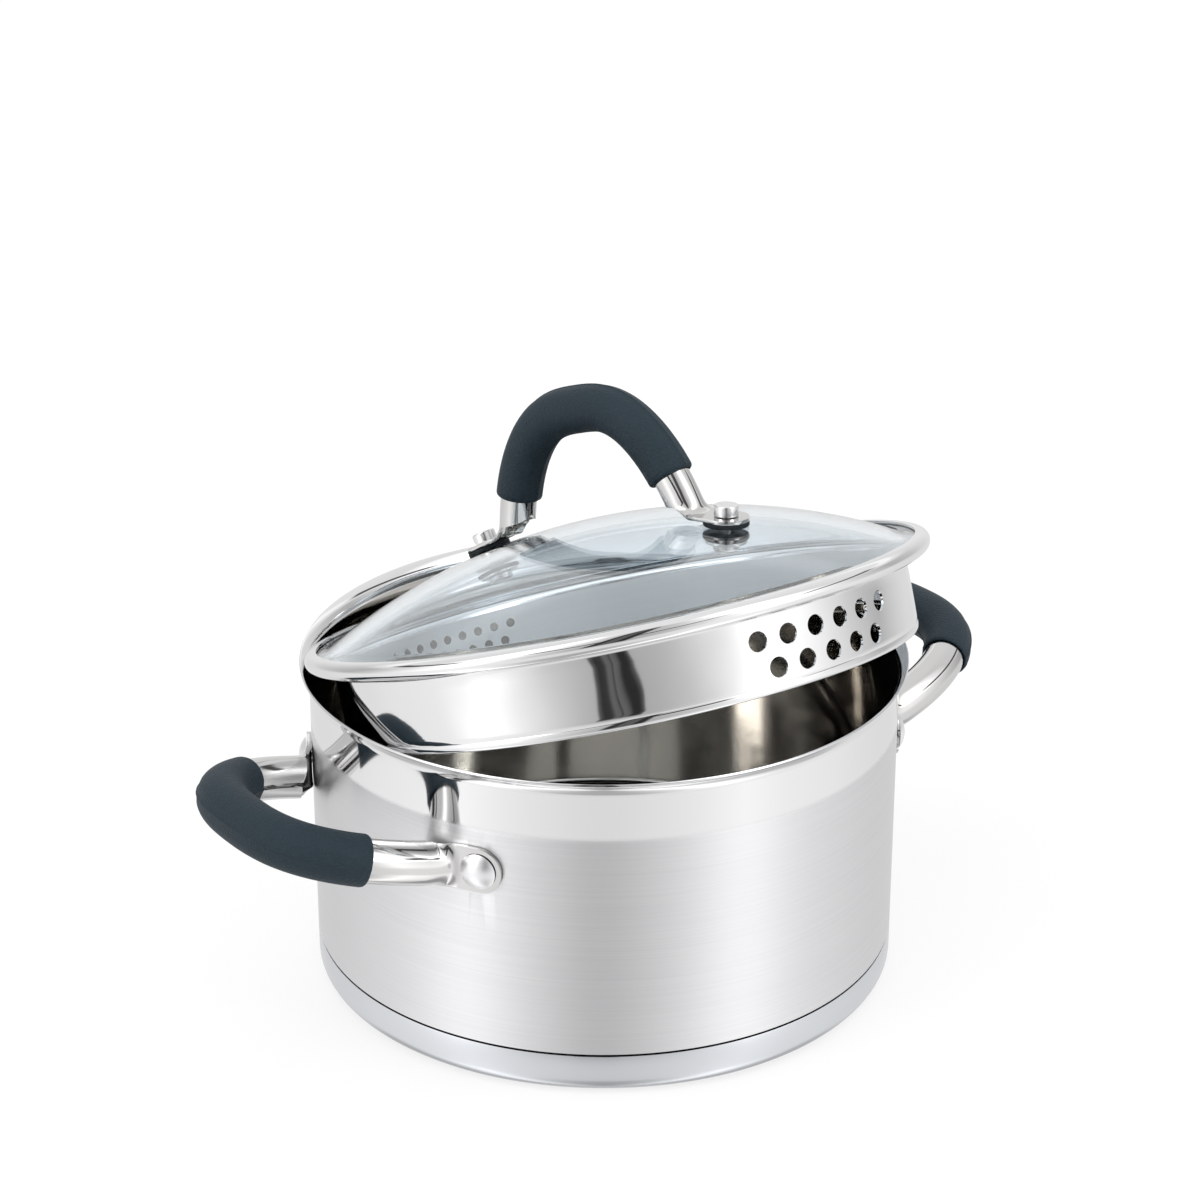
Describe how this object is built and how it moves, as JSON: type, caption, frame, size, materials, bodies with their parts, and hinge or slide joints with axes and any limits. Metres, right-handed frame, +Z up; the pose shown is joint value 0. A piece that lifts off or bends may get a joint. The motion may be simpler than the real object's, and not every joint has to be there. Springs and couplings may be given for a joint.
{
  "type": "casserole pot",
  "caption": "Straight-sided steel casserole pot with a flared lip, sleeved loop handles on both sides and a domed glass lid with a straining steel skirt and an arched handle.",
  "frame": {"origin": "middle of the base on the worktop", "axes": "+Z up, X through the two side handles, -Y the front, where the lid lies raised"},
  "size_m": [0.3012, 0.2118, 0.2065],
  "materials": {
    "brushed_steel": "satin, brushed round the pot",
    "polished_steel": "mirror polished",
    "aluminium": "plain, sealed in the base",
    "silicone": "matte slate grey",
    "tempered_glass": "clear"
  },
  "bodies": {
    "pot": {"pot_shell": "brushed_steel", "base_core": "aluminium", "base_cap": "brushed_steel", "right_handle_strap": "polished_steel", "right_handle_grip": "silicone", "right_handle_front_rivet": "polished_steel", "right_handle_rear_rivet": "polished_steel", "left_handle_strap": "polished_steel", "left_handle_grip": "silicone", "left_handle_front_rivet": "polished_steel", "left_handle_rear_rivet": "polished_steel"},
    "lid": {"lid_band": "polished_steel", "lid_glass": "tempered_glass", "lid_handle_strap": "polished_steel", "lid_handle_grip": "silicone", "lid_front_barrel_nut": "polished_steel", "lid_front_upper_gasket": "silicone", "lid_front_lower_gasket": "silicone", "lid_front_washer": "polished_steel", "lid_front_screw": "polished_steel", "lid_rear_barrel_nut": "polished_steel", "lid_rear_upper_gasket": "silicone", "lid_rear_lower_gasket": "silicone", "lid_rear_washer": "polished_steel", "lid_rear_screw": "polished_steel"}
  },
  "joints": [
    {"name": "lid_lift", "type": "slide", "parent": "pot", "child": "lid", "axis": [0, 0, 1], "range_m": [0, 0.12]}
  ]
}
